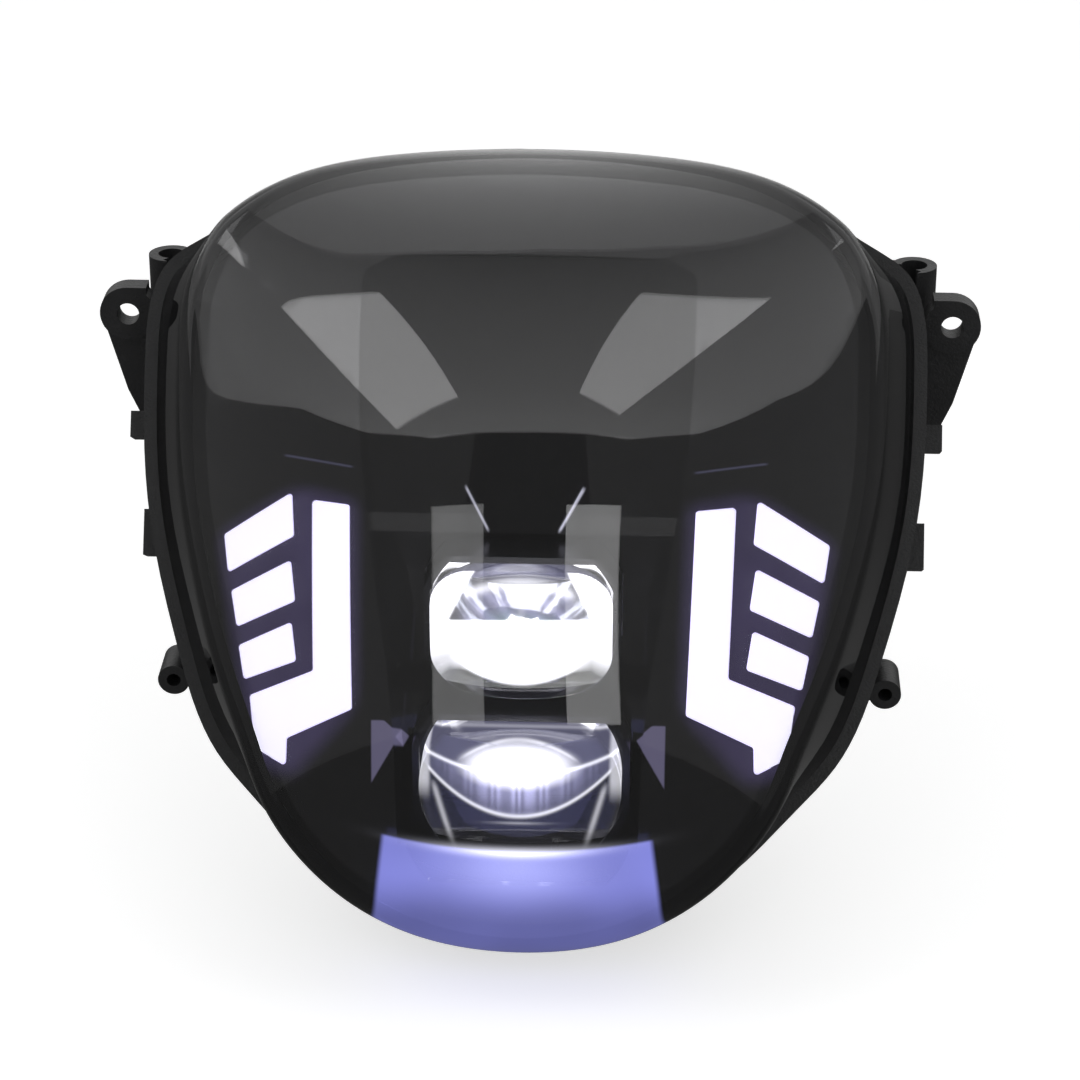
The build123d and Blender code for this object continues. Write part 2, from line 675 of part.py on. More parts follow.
with BuildPart() as inner_bezel:
    add(bezel_outer)
    add(bezel_inner, mode=Mode.SUBTRACT)
    add(bezel_skirt)
    add(channel_shell.part)
    add(channel_space.part, mode=Mode.SUBTRACT)
    for cut in window_cuts:
        add(cut, mode=Mode.SUBTRACT)
    for cut in holder_cuts:
        extrude(to_extrude=cut, amount=-STAIR_FRONT, mode=Mode.SUBTRACT)
    add(prism(BROW_AREA, BROW_LOW, BROW_HIGH, BROW_ROUND))
    for boss in bezel_bosses.part.solids():
        add(boss)
finish(inner_bezel.part, "inner_bezel")


def diffuser(windows, bar, side):
    """Pads that fill windows of the bezel, on a lip behind it."""
    pads = [prism(sided(window, side), 0, PRISM_TOP, WINDOW_ROUND, WINDOW_GAP)
            for window in windows]
    lips = [prism(sided(window, side), 0, PRISM_TOP, 0, -LIP_OUT) for window in windows]
    if bar:
        lips.append(prism(sided(bar, side), 0, PRISM_TOP))
    with BuildPart() as lip:
        for solid in lips:
            add(solid)
        add(lip_shell, mode=Mode.INTERSECT)
    with BuildPart() as body:
        for solid in pads:
            add(solid)
        add(bezel_outer, mode=Mode.INTERSECT)
        add(lip.part)
        add(back_shell, mode=Mode.SUBTRACT)
    return body.part


def light_box(side):
    """Open tray behind the windows of one side."""
    with BuildPart() as body:
        add(prism(sided(BOX_AREA, side), BOX_FLOOR, PRISM_TOP))
        add(box_shell, mode=Mode.INTERSECT)
        add(prism(sided(BOX_AREA, side), BOX_FLOOR + BOX_WALL, PRISM_TOP, 0, BOX_WALL),
            mode=Mode.SUBTRACT)
    return body.part


def side_board(side):
    """Circuit board on the floor of a light box."""
    low = BOX_FLOOR + BOX_WALL
    return prism(sided(BOX_AREA, side), low, low + BOARD_THICK, 0, BOARD_IN)


def side_chips(side):
    """Light emitters under each window."""
    level = BOX_FLOOR + BOX_WALL + BOARD_THICK
    places = [(sum(x for x, t in window) / len(window) + shift, sum(t for x, t in window) / len(window))
              for window in CHEVRONS for shift in CHEVRON_CHIPS] + ELBOW_CHIPS
    with BuildPart() as body:
        with BuildSketch(LAMP.offset(level)):
            with Locations(*sided(places, side)):
                Rectangle(CHIP, CHIP)
        extrude(amount=CHIP_HEIGHT)
    return body.part


for side, word in ((-1, "left"), (1, "right")):
    finish(diffuser([ELBOW], None, side), f"{word}_elbow_guide")
    finish(diffuser(CHEVRONS, CHEVRON_BAR, side), f"{word}_chevron_guide")
    finish(light_box(side), f"{word}_light_box")
    finish(side_board(side), f"{word}_side_board")
    finish(side_chips(side), f"{word}_side_emitters")

# Projector modules
for module, word in ((UPPER, "upper"), (LOWER, "lower")):
    z = module["z"]
    finish(projector_lens(module), f"{word}_projector_lens")
    finish(lens_holder(module), f"{word}_lens_holder")
    finish(reflector(module), f"{word}_reflector")
    finish(heat_sink(module), f"{word}_heat_sink")
    board_front = CARRIER_BACK - BOARD_THICK
    finish(block(LED_BOARD, BOARD_THICK, LED_BOARD, 0, board_front, z), f"{word}_led_board")
    finish(block(EMITTER, CHIP_HEIGHT, EMITTER, 0, board_front - CHIP_HEIGHT, z),
           f"{word}_emitter")

# Flat cut-off shield across the lower half of the low beam
shield_half = LOWER["width"] / 2 - HOLDER_LEDGE - GAP
shield_drop = LOWER["height"] / 2 - HOLDER_LEDGE - GAP
with BuildPart() as cutoff_shield:
    with BuildSketch(facing(LOWER["seat"] + HOLDER_LENGTH - SHIELD_WALL, LOWER["z"])):
        with BuildLine():
            Polyline((-shield_half, 0), (shield_half, 0), (shield_half - SHIELD_TAPER, -shield_drop),
                     (SHIELD_TAPER - shield_half, -shield_drop), close=True)
        make_face()
    extrude(amount=SHIELD_WALL)
finish(cutoff_shield.part, "cutoff_shield")

# Carrier plate for both projector modules
with BuildPart() as projector_carrier:
    with BuildSketch(facing(CARRIER_BACK, 0)):
        with BuildLine():
            Polyline((-CARRIER_HALF, CARRIER_TOP), (CARRIER_HALF, CARRIER_TOP),
                     (CARRIER_HALF, CARRIER_STEP), (CARRIER_FOOT_HALF, CARRIER_STEP),
                     (CARRIER_FOOT_HALF, CARRIER_LOW), (-CARRIER_FOOT_HALF, CARRIER_LOW),
                     (-CARRIER_FOOT_HALF, CARRIER_STEP), (-CARRIER_HALF, CARRIER_STEP),
                     close=True)
        make_face()
        for module in (UPPER, LOWER):
            with Locations((0, module["z"])):
                Rectangle(LED_BOARD + 2 * GAP, LED_BOARD + 2 * GAP, mode=Mode.SUBTRACT)
            with Locations((-SINK_SCREW_X, module["z"]), (SINK_SCREW_X, module["z"])):
                Circle(SCREW_R, mode=Mode.SUBTRACT)
        with Locations(*POST_PLACES):
            Circle(SCREW_R + GAP, mode=Mode.SUBTRACT)
    extrude(amount=CARRIER_WALL)
finish(projector_carrier.part, "projector_carrier")

# Rear cover with its gasket, the driver on it and the wire inlet
rear_size = (TUB_WIDTH, TUB_HEIGHT)
REAR_FACE = TUB_BACK - GASKET_THICK
with BuildPart() as rear_cover_gasket:
    with BuildSketch(LAMP.offset(REAR_FACE)):
        with Locations((0, TUB_MID)):
            RectangleRounded(*rear_size, TUB_ROUND)
            RectangleRounded(TUB_WIDTH - 2 * GASKET_WIDTH, TUB_HEIGHT - 2 * GASKET_WIDTH,
                             TUB_ROUND - GASKET_WIDTH, mode=Mode.SUBTRACT)
    extrude(amount=GASKET_THICK)
finish(rear_cover_gasket.part, "rear_cover_gasket")

with BuildPart() as rear_cover:
    with BuildSketch(LAMP.offset(REAR_FACE - REAR_WALL)):
        with Locations((0, TUB_MID)):
            RectangleRounded(*rear_size, TUB_ROUND)
    extrude(amount=REAR_WALL)
    with BuildSketch(LAMP.offset(REAR_FACE - REAR_WALL - REAR_RIB)):
        with Locations((0, TUB_MID + REAR_RIB_RISE)):
            with GridLocations(REAR_RIB_PITCH, 1, REAR_RIBS, 1):
                Rectangle(REAR_RIB_WALL, TUB_HEIGHT / 2)
    extrude(amount=REAR_RIB)
    with BuildSketch(LAMP.offset(REAR_FACE - REAR_WALL)):
        with Locations(*REAR_PLACES):
            Circle(SCREW_R + GAP)
        with Locations((0, INLET_T)):
            Circle(INLET_R - INLET_FLANGE)
    extrude(amount=REAR_WALL, mode=Mode.SUBTRACT)
finish(rear_cover.part, "rear_cover")

with BuildPart() as led_driver:
    with BuildSketch(LAMP.offset(REAR_FACE)):
        with Locations((0, DRIVER_T)):
            RectangleRounded(DRIVER[0], DRIVER[1], DRIVER_ROUND)
    extrude(amount=DRIVER[2])
finish(led_driver.part, "led_driver")

with BuildPart() as wire_grommet:
    with BuildSketch(LAMP.offset(REAR_FACE - REAR_WALL - INLET_FLANGE)):
        with Locations((0, INLET_T)):
            Circle(INLET_R)
    extrude(amount=INLET_FLANGE)
    with BuildSketch(LAMP.offset(REAR_FACE - REAR_WALL)):
        with Locations((0, INLET_T)):
            Circle(INLET_R - INLET_FLANGE)
    extrude(amount=REAR_WALL + INLET_FLANGE)
    with BuildSketch(LAMP.offset(REAR_FACE - REAR_WALL - INLET_FLANGE)):
        with Locations((0, INLET_T)):
            Circle(INLET_BORE_R)
    extrude(amount=REAR_WALL + 2 * INLET_FLANGE, mode=Mode.SUBTRACT)
finish(wire_grommet.part, "wire_grommet")

with BuildPart() as vent_caps:
    with BuildSketch(LAMP.offset(BOWL_BACK - VENT_HEIGHT)):
        with Locations(*VENT_PLACES):
            Circle(VENT_R)
    extrude(amount=VENT_HEIGHT)
    with BuildSketch(LAMP.offset(BOWL_BACK)):
        with Locations(*VENT_PLACES):
            Circle(VENT_STEM_R)
    extrude(amount=SHELL_WALL)
    rims = vent_caps.edges().filter_by(GeomType.CIRCLE).group_by(SortBy.RADIUS)[-1]
    fillet(rims.group_by(Axis(LAMP.origin, LAMP.z_dir))[0], VENT_ROUND)
finish(vent_caps.part, "vent_caps")

# Screw groups
BACKWARD = Plane(origin=LAMP.origin, x_dir=(-1, 0, 0), z_dir=-LAMP.z_dir)


def from_behind(places):
    """Lamp-plane places as seen on the plane that faces backwards."""
    return [(-x, t) for x, t in places]


finish(screws(BACKWARD.offset(-BOWL_BACK), from_behind(BOSS_PLACES),
              BOSS_SEAT - BOWL_BACK + SCREW_LENGTH), "bezel_screws")
finish(screws(BACKWARD.offset(-REAR_FACE + REAR_WALL), from_behind(REAR_PLACES),
              SCREW_LENGTH), "rear_cover_screws")
finish(screws(facing(CARRIER_BACK - CARRIER_WALL, 0), POST_PLACES,
              SCREW_LENGTH), "carrier_screws")
sink_places = [(x, module["z"]) for module in (UPPER, LOWER) for x in (-SINK_SCREW_X, SINK_SCREW_X)]
sink_back = Plane(origin=(0, CARRIER_BACK + SINK_BASE, 0), x_dir=(-1, 0, 0), z_dir=(0, 1, 0))
finish(screws(sink_back, sink_places, SCREW_LENGTH - 1), "heat_sink_screws")
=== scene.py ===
"""Looks of the twin headlight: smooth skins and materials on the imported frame, studio and camera.

Row frame in metres: +X to the viewer's right, the lamp shines along -Y, +Z up.
Lamp plane: x across, t up the leaning plane, n the height over it towards the front.
"""
import json
import math

import bpy
import numpy as np
from mathutils import Matrix, Vector


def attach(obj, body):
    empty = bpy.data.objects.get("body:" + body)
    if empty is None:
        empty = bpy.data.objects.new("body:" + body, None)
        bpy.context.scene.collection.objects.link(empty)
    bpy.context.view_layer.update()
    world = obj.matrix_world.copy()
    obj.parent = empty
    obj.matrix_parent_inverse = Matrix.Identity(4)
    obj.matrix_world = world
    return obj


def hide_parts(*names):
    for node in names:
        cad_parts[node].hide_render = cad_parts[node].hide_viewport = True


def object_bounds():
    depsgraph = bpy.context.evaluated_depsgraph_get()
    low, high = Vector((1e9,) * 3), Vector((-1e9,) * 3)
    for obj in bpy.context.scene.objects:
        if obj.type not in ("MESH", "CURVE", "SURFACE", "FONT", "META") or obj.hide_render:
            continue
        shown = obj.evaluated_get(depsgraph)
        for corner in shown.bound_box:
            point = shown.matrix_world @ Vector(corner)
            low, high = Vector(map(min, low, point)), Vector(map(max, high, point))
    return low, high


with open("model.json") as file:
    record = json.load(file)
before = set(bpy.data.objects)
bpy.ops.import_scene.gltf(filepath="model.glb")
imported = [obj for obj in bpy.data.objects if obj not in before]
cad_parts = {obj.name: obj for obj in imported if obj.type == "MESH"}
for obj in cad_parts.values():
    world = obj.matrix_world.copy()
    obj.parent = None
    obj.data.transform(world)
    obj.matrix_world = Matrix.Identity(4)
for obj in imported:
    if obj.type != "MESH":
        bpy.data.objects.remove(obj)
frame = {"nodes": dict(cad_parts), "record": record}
cad_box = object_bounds()
nodes = frame["nodes"]

MM = 0.001
RAKE = math.radians(30)
ORIGIN = np.array([0, -56.0, -49.4])
ACROSS = np.array([1.0, 0, 0])
UPWARD = np.array([0, math.sin(RAKE), math.cos(RAKE)])
FRONT = np.array([0, -math.cos(RAKE), math.sin(RAKE)])

# Outline of the cover at its foot and at WALL_TOP, right half, top to bottom, in millimetres
WALL_TOP = 45.0
FOOT = [(0, 114.5), (40, 111), (75, 101.5), (98.5, 87), (109, 79.5), (113, 69), (114, 53.5),
        (112, 11), (101.5, -34), (89, -64), (77.5, -77), (61, -94), (32, -111), (0, -116)]
BROW = [(0, 121.4), (38, 118), (68, 109.5), (86, 97.5), (91, 81), (93.5, 66), (93.5, 52),
        (92, 11), (87.6, -34), (79, -64), (73, -82), (62, -98), (31, -122), (0, -131)]

# Dome over the lamp plane
DOME_BASE, DOME_RISE, DOME_MID, DOME_HALF, DOME_SAG = -10.0, 85.0, -5.0, 127.0, 50.6

COVER_WALL = 2.6
ROUND = 18                  # samples between two outline points
SMOOTH_ANGLE = math.radians(35)


# Shapes

def place(points):
    """Lamp-plane points (x, t, n) in millimetres as points of the row frame in metres."""
    p = np.asarray(points, float)
    return (ORIGIN + p[..., :1] * ACROSS + p[..., 1:2] * UPWARD + p[..., 2:3] * FRONT) * MM


def dome(x, t):
    """Height n of the dome over the lamp plane."""
    crest2 = np.clip(1 - ((t - DOME_MID) / DOME_HALF) ** 2, 1e-6, None)
    return DOME_BASE + DOME_RISE * np.sqrt(crest2) - DOME_SAG * (x / 100) ** 2 * crest2


def lowered(x, t, depth):
    """Dome moved inwards by depth along its normal."""
    step = 0.05
    slope_x = (dome(x + step, t) - dome(x - step, t)) / (2 * step)
    slope_t = (dome(x, t + step) - dome(x, t - step)) / (2 * step)
    return dome(x, t) - depth * np.sqrt(1 + slope_x ** 2 + slope_t ** 2)


def smooth_loop(points):
    """Closed cubic curve through the points, ROUND samples for each span."""
    p = np.array(points, float)
    count = len(p)
    span = np.linalg.norm(np.roll(p, -1, 0) - p, axis=1)
    matrix = np.zeros((count, count))
    right = np.zeros((count, 2))
    for i in range(count):
        j, k = (i - 1) % count, (i + 1) % count
        matrix[i, j] += span[j]
        matrix[i, i] += 2 * (span[j] + span[i])
        matrix[i, k] += span[i]
        right[i] = 6 * ((p[k] - p[i]) / span[i] - (p[i] - p[j]) / span[j])
    bend = np.linalg.solve(matrix, right)
    loop = []
    for i in range(count):
        k = (i + 1) % count
        for s in range(ROUND):
            f = s / ROUND
            a, b = 1 - f, f
            loop.append(a * p[i] + b * p[k]
                        + ((a ** 3 - a) * bend[i] + (b ** 3 - b) * bend[k]) * span[i] ** 2 / 6)
    return np.array(loop)


def outline(level, inset):
    """Outline of the walls at height level, moved inwards by inset."""
    share = max(0.0, level) / WALL_TOP
    half = [(xf + (xb - xf) * share, tf + (tb - tf) * share)
            for (xf, tf), (xb, tb) in zip(FOOT, BROW)]
    points = half + [(-x, t) for x, t in half[-2:0:-1]]
    moved = []
    for i, (x, t) in enumerate(points):
        (xa, ta), (xb, tb) = points[i - 1], points[(i + 1) % len(points)]
        length = math.hypot(xb - xa, tb - ta)
        moved.append((x + inset * (tb - ta) / length, t - inset * (xb - xa) / length))
    return smooth_loop(moved)


def flat_loop(level, inset):
    """Outline at one height as points of the lamp plane."""
    loop = outline(level, inset)
    return np.column_stack([loop, np.full(len(loop), float(level))])


WALL_ROWS = 8
EDGE_ROWS = 8               # round the edge from the dome to the wall
BAND_ROWS = 6               # rows of the dome that the black band covers


def skin(inset, depth, rounding, dome_rows):
    """Loops from the middle of the dome out to its edge, round it and down the wall to n = 0."""
    foot, brow = outline(0.0, inset), outline(WALL_TOP, inset)
    low, high = np.zeros(len(foot)), np.full(len(foot), 90.0)

    def wall(level):
        share = np.minimum(level / WALL_TOP, 1.0)[:, None]
        return foot + (brow - foot) * share

    for _ in range(40):
        middle = (low + high) / 2
        q = wall(middle)
        under = middle < lowered(q[:, 0], q[:, 1], depth)
        low, high = np.where(under, middle, low), np.where(under, high, middle)
    level = (low + high) / 2
    edge = np.column_stack([wall(level), level])
    centre = np.array([0.0, DOME_MID])

    def over(share):
        q = centre + (edge[:, :2] - centre) * share
        return np.column_stack([q, lowered(q[:, 0], q[:, 1], depth)])

    reach = np.linalg.norm(edge[:, :2] - centre, axis=1)
    inner = over((1 - rounding / reach)[:, None])
    drop = np.maximum(level - rounding, 1.0)
    outer = np.column_stack([wall(drop), drop])
    loops = [over(((1 - rounding / reach) * share)[:, None])
             for share in np.sin(np.linspace(0, math.pi / 2, dome_rows + 1))[1:-1]]
    for s in np.linspace(0, 1, EDGE_ROWS + 1):
        loops.append((1 - s) ** 2 * inner + 2 * s * (1 - s) * edge + s ** 2 * outer)
    for s in np.linspace(0, 1, WALL_ROWS + 1)[1:]:
        here = drop * (1 - s)
        loops.append(np.column_stack([wall(here), here]))
    return loops


def loft_faces(count, rows):
    """Faces of a surface lofted through loops of count points, closed by a point at either end."""
    faces = []
    end = 1 + (rows - 1) * count
    for i in range(count):
        k = (i + 1) % count
        faces.append((0, 1 + i, 1 + k))
        faces.append((1 + rows * count, end + k, end + i))
    for row in range(rows - 1):
        a, b = 1 + row * count, 1 + (row + 1) * count
        faces += [(a + i, b + i, b + (i + 1) % count, a + (i + 1) % count) for i in range(count)]
    return faces


def closed_mesh(name, loops, first, last, banded=()):
    """Mesh lofted through the loops, closed by a point at either end.

    Rows of faces that start at a loop in banded take the second material.
    """
    count = len(loops[0])
    points = np.vstack([[first]] + loops + [[last]])
    obj = new_object(name, place(points), loft_faces(count, len(loops)))
    for face in obj.data.polygons:
        row = (min(face.vertices) - 1) // count
        face.material_index = int(len(face.vertices) == 4 and row in banded)
    return obj


def new_object(name, points, faces):
    """Object with outward normals, shaded smooth where its faces meet below SMOOTH_ANGLE."""
    mesh = bpy.data.meshes.new(name)
    mesh.from_pydata([tuple(p) for p in points], [], faces)
    mesh.validate()
    obj = bpy.data.objects.new(name, mesh)
    bpy.context.scene.collection.objects.link(obj)
    bpy.context.view_layer.objects.active = obj
    bpy.ops.object.select_all(action="DESELECT")
    obj.select_set(True)
    bpy.ops.object.mode_set(mode="EDIT")
    bpy.ops.mesh.select_all(action="SELECT")
    bpy.ops.mesh.normals_make_consistent(inside=False)
    bpy.ops.object.mode_set(mode="OBJECT")
    bpy.ops.object.shade_smooth_by_angle(angle=SMOOTH_ANGLE)
    return obj


# Materials

class Shader:
    """One procedural material on the Principled shader."""

    def __init__(self, name, **values):
        self.material = bpy.data.materials.new(name)
        self.material.use_nodes = True
        self.tree = self.material.node_tree
        self.main = self.tree.nodes["Principled BSDF"]
        for socket, value in values.items():
            self.main.inputs[socket.replace("_", " ")].default_value = value

    def node(self, kind, **values):
        made = self.tree.nodes.new(kind)
        for key, value in values.items():
            if key in made.inputs:
                made.inputs[key].default_value = value
            else:
                setattr(made, key, value)
        return made

    def link(self, source, target):
        self.tree.links.new(source, target)

    def math(self, operation, *values):
        """Arithmetic on sockets and numbers."""
        made = self.node("ShaderNodeMath", operation=operation)
        for i, value in enumerate(values):
            if isinstance(value, (int, float)):
                made.inputs[i].default_value = value
            else:
                self.link(value, made.inputs[i])
        return made.outputs[0]

    def smooth(self, value, low, high):
        """0 where the value is below low, 1 above high, smooth between."""
        made = self.node("ShaderNodeMapRange", interpolation_type="SMOOTHSTEP")
        made.inputs["From Min"].default_value = low
        made.inputs["From Max"].default_value = high
        self.link(value, made.inputs["Value"])
        return made.outputs["Result"]

    def bell(self, value, falloff):
        """exp(falloff * value squared), 1 in the middle."""
        square = self.math("MULTIPLY", value, value)
        return self.math("EXPONENT", self.math("MULTIPLY", square, falloff))

    def lamp_plane(self):
        """x and t of the surface in the lamp plane, in millimetres."""
        where = self.node("ShaderNodeSeparateXYZ")
        self.link(self.node("ShaderNodeTexCoord").outputs["Object"], where.inputs[0])
        x = self.math("MULTIPLY", where.outputs["X"], 1 / MM)
        y = self.math("MULTIPLY_ADD", where.outputs["Y"], UPWARD[1] / MM, -ORIGIN[1] * UPWARD[1])
        t = self.math("MULTIPLY_ADD", where.outputs["Z"], UPWARD[2] / MM, -ORIGIN[2] * UPWARD[2])
        return x, self.math("ADD", y, t)

    def noise(self, scale, detail=3.0):
        where = self.node("ShaderNodeTexCoord")
        made = self.node("ShaderNodeTexNoise", Scale=scale, Detail=detail)
        self.link(where.outputs["Object"], made.inputs["Vector"])
        return made.outputs["Fac"]

    def colours(self, factor, low, high, socket="Base Color"):
        ramp = self.node("ShaderNodeMix", data_type="RGBA")
        ramp.inputs[6].default_value = (*low, 1)
        ramp.inputs[7].default_value = (*high, 1)
        self.link(factor, ramp.inputs[0])
        self.link(ramp.outputs[2], self.main.inputs[socket])

    def range(self, factor, low, high, socket):
        made = self.node("ShaderNodeMapRange")
        made.inputs["To Min"].default_value = low
        made.inputs["To Max"].default_value = high
        self.link(factor, made.inputs["Value"])
        self.link(made.outputs["Result"], self.main.inputs[socket])

    def bump(self, factor, distance, strength=1.0):
        made = self.node("ShaderNodeBump", Strength=strength, Distance=distance)
        self.link(factor, made.inputs["Height"])
        self.link(made.outputs["Normal"], self.main.inputs["Normal"])


def glowing(shader):
    """Adds the light stored in the colour attribute glow."""
    glow = shader.node("ShaderNodeAttribute", attribute_name="glow")
    shader.link(glow.outputs["Color"], shader.main.inputs["Emission Color"])
    shader.main.inputs["Emission Strength"].default_value = 1.0


def plain(name, low, high, rough, scale=120.0, bump=0.0, **values):
    """Material whose colour and roughness vary slightly over the surface."""
    made = Shader(name, **values)
    factor = made.noise(scale)
    made.colours(factor, low, high)
    made.range(factor, rough[0], rough[1], "Roughness")
    if bump:
        made.bump(made.noise(scale * 8), bump)
    return made.material


def metal(name, low, high, rough):
    """As plain, for a metal."""
    return plain(name, low, high, rough, Metallic=1.0)


# Light patch in the cover's chin, in millimetres of the lamp plane
CHIN_HALF = 41.5
CHIN_ARC = -86.7            # t of the patch's upper edge at its ends
CHIN_SAG = 4.7
CHIN_FLARE = 0.15           # widening downwards, from its full half width at CHIN_LOW
CHIN_LOW = -108.0
HOT_T = -96.5               # brightest spot of the patch, and its size across and up
HOT_WIDTH, HOT_HEIGHT = 18.0, 8.0
RIM_SHIFT = 0.5             # middle of the white line below the arc, its fall-off and width
RIM_FALLOFF = -0.55
RIM_WIDTH = 19.0
CHIN_FADE = (-113.0, -98.0)     # t over which the light falls off downwards
# Shares of the base, the hot spot and the white line in each channel
CHIN_COLOURS = {"Red": (0.23, 0.26, 0.95), "Green": (0.245, 0.27, 0.95), "Blue": (0.72, 0.45, 1.1)}


def chin_light(shader):
    """Lavender light in the cover's chin, under an arc, on the faces marked inside."""
    x, t = shader.lamp_plane()
    x2 = shader.math("MULTIPLY", x, x)
    arc = shader.math("MULTIPLY_ADD", x2, CHIN_SAG / CHIN_HALF ** 2, CHIN_ARC - CHIN_SAG)
    under = shader.math("SUBTRACT", arc, t)
    half = shader.math("MULTIPLY_ADD", t, -CHIN_FLARE, CHIN_HALF + CHIN_FLARE * CHIN_LOW)
    edge = shader.math("SUBTRACT", half, shader.math("ABSOLUTE", x))
    mask = shader.math("MULTIPLY", shader.smooth(under, -0.4, 0.7), shader.smooth(edge, -0.5, 1.5))
    inside = shader.node("ShaderNodeAttribute", attribute_name="inside")
    marked = inside.outputs["Fac"]
    mask = shader.math("MULTIPLY", mask, marked)
    centre = shader.bell(x, -1 / HOT_WIDTH ** 2)
    near = shader.bell(shader.math("SUBTRACT", t, HOT_T), -1 / HOT_HEIGHT ** 2)
    hot = shader.math("MULTIPLY", centre, near)
    rim = shader.bell(shader.math("SUBTRACT", under, RIM_SHIFT), RIM_FALLOFF)
    wide = shader.bell(x, -1 / RIM_WIDTH ** 2)
    rim = shader.math("MULTIPLY", shader.math("MULTIPLY", rim, wide), marked)
    low = shader.smooth(t, *CHIN_FADE)
    base = shader.math("MULTIPLY_ADD", low, 0.5, 0.5)
    cloud = shader.math("MULTIPLY_ADD", shader.noise(38.0, 1.0), 0.5, 0.75)
    base = shader.math("MULTIPLY", base, cloud)
    glow = shader.node("ShaderNodeCombineColor")
    for channel, parts in CHIN_COLOURS.items():
        total = shader.math("MULTIPLY", base, parts[0])
        total = shader.math("MULTIPLY_ADD", hot, parts[1], total)
        total = shader.math("MULTIPLY", total, mask)
        shader.link(shader.math("MULTIPLY_ADD", rim, parts[2], total), glow.inputs[channel])
    shader.link(glow.outputs[0], shader.main.inputs["Emission Color"])
    shader.main.inputs["Emission Strength"].default_value = 1.0


def stroke(shader, x, t, start, end, width):
    """1 along a line in the lamp plane, fading to 0 at its width."""
    length = math.dist(start, end)
    ux, ut = (end[0] - start[0]) / length, (end[1] - start[1]) / length
    along = shader.math("MULTIPLY_ADD", x, ux, -start[0] * ux - start[1] * ut)
    along = shader.math("MULTIPLY_ADD", t, ut, along)
    across = shader.math("MULTIPLY_ADD", x, -ut, start[0] * ut - start[1] * ux)
    across = shader.math("MULTIPLY_ADD", t, ux, across)
    fall = shader.bell(shader.math("DIVIDE", across, width), -1.0)
    ends = shader.math("MULTIPLY", shader.smooth(along, 0.0, 2.0),
                       shader.smooth(shader.math("SUBTRACT", length, along), 0.0, 2.0))
    return shader.math("MULTIPLY", fall, ends)


def inside_corners(shader, x, t, corners, low, high):
    """1 inside a convex polygon of the lamp plane, 0 beyond low outside its edges."""
    mask = None
    for (xa, ta), (xb, tb) in zip(corners, corners[1:] + corners[:1]):
        length = math.dist((xa, ta), (xb, tb))
        nx, nt = -(tb - ta) / length, (xb - xa) / length
        edge = shader.math("MULTIPLY_ADD", x, nx, -xa * nx - ta * nt)
        part = shader.smooth(shader.math("MULTIPLY_ADD", t, nt, edge), low, high)
        mask = part if mask is None else shader.math("MULTIPLY", mask, part)
    return mask


# Painted halo round the light windows, painted glints on the bezel's edges and a painted lit facet,
# all of the right side
HALO = [(47.5, 5.0), (46.5, -51.5), (65.0, -71.0), (76.0, -67.0), (88.0, -2.5), (65.0, 9.5)]
BROW_EDGE = [(17.3, 12.5), (9.7, -1.5)]
LEDGE_EDGE = [(69.5, 20.0), (47.2, 15.5)]
FACET_GLINT = [(41.2, -55.6), (37.5, -55.6), (33.0, -59.5), (41.2, -73.0)]
HALO_SOFT = (-4.5, 3.0)
# Shares of the painted halo and of the painted glints on the brow's edge, the ledge's edge and the
# facet in each channel
BEZEL_COLOURS = {"Red": (0.034, 0.5, 0.05, 0.11), "Green": (0.026, 0.5, 0.05, 0.10),
                 "Blue": (0.070, 0.6, 0.09, 0.17)}


def bezel_light(shader):
    """Painted violet halo round the windows, painted glints on the bezel's edges and a painted lit
    facet.
    """
    x, t = shader.lamp_plane()
    x = shader.math("ABSOLUTE", x)
    halo = inside_corners(shader, x, t, HALO, *HALO_SOFT)
    cloud = shader.math("MULTIPLY_ADD", shader.noise(60.0, 1.0), 0.6, 0.7)
    halo = shader.math("MULTIPLY", halo, cloud)
    # painted glints along the brow's and the ledge's edges, and a painted highlight in the shape of
    # a lit facet
    brow = stroke(shader, x, t, *BROW_EDGE, 0.35)
    ledge = stroke(shader, x, t, *LEDGE_EDGE, 0.3)
    facet_glint = inside_corners(shader, x, t, FACET_GLINT, -0.3, 0.3)
    glow = shader.node("ShaderNodeCombineColor")
    for channel, parts in BEZEL_COLOURS.items():
        total = shader.math("MULTIPLY", halo, parts[0])
        for mask, part in zip((brow, ledge, facet_glint), parts[1:]):
            total = shader.math("MULTIPLY_ADD", mask, part, total)
        shader.link(total, glow.inputs[channel])
    shader.link(glow.outputs[0], shader.main.inputs["Emission Color"])
    shader.main.inputs["Emission Strength"].default_value = 1.0


GUIDE_STRENGTH = 1.5
EMITTER_STRENGTH = 4.0


def guide_light(shader):
    """White light that turns lavender where the window's walls come near."""
    shade = shader.node("ShaderNodeAmbientOcclusion", Distance=0.003, samples=8)
    open_share = shader.smooth(shade.outputs["AO"], 0.45, 0.85)
    shader.colours(open_share, (0.42, 0.38, 0.6), (0.92, 0.92, 1.0), "Emission Color")
    shader.main.inputs["Emission Strength"].default_value = GUIDE_STRENGTH


cover_shader = Shader("clear_cover", Base_Color=(0.93, 0.93, 0.945, 1), IOR=1.58)
cover_shader.main.inputs["Transmission Weight"].default_value = 1.0
cover_shader.range(cover_shader.noise(30.0), 0.0, 0.012, "Roughness")
chin_light(cover_shader)
band_shader = Shader("black_band", Roughness=0.05)
band_shader.colours(band_shader.noise(120.0), (0.004, 0.004, 0.005), (0.007, 0.007, 0.008))
chin_light(band_shader)

lens_shader = Shader("lens_glass", Base_Color=(0.97, 0.97, 0.985, 1), IOR=1.5)
lens_shader.main.inputs["Transmission Weight"].default_value = 1.0
lens_shader.range(lens_shader.noise(40.0), 0.0, 0.01, "Roughness")
glowing(lens_shader)

